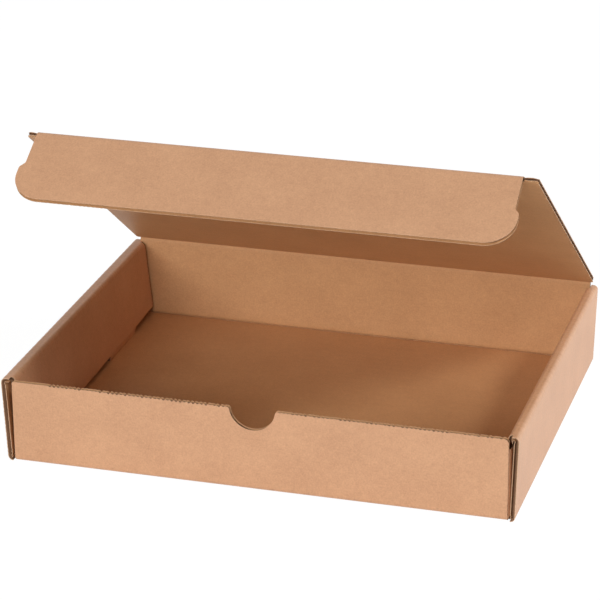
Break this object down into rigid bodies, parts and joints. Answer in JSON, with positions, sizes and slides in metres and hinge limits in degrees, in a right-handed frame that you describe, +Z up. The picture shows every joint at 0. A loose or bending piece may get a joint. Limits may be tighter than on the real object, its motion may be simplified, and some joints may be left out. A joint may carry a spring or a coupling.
{
  "type": "corrugated mailer box",
  "caption": "Kraft corrugated mailer box with rolled side walls, a thumb notch in the front wall and a hinged lid with a tuck flap, standing open.",
  "frame": {"origin": "middle of the tray's footprint, on the surface it stands on", "axes": "+X along the hinge to the right seen from the front, +Y to the hinged back wall, +Z up"},
  "size_m": [0.2988, 0.227, 0.1843],
  "materials": {
    "kraft_board": "matte kraft"
  },
  "bodies": {
    "tray": {"tray": "kraft_board"},
    "lid": {"lid": "kraft_board"},
    "tuck_flap": {"tuck_flap": "kraft_board"}
  },
  "joints": [
    {"name": "lid_hinge", "type": "hinge", "parent": "tray", "child": "lid", "pos_m": [0, 0.1121, 0.0542], "axis": [-1, 0, 0], "range_deg": [-33.7, 144.6]},
    {"name": "tuck_crease", "type": "hinge", "parent": "lid", "child": "tuck_flap", "pos_m": [0, -0.06894, 0.18286], "axis": [1, 0, 0], "range_deg": [-64.9, 32.1]}
  ]
}
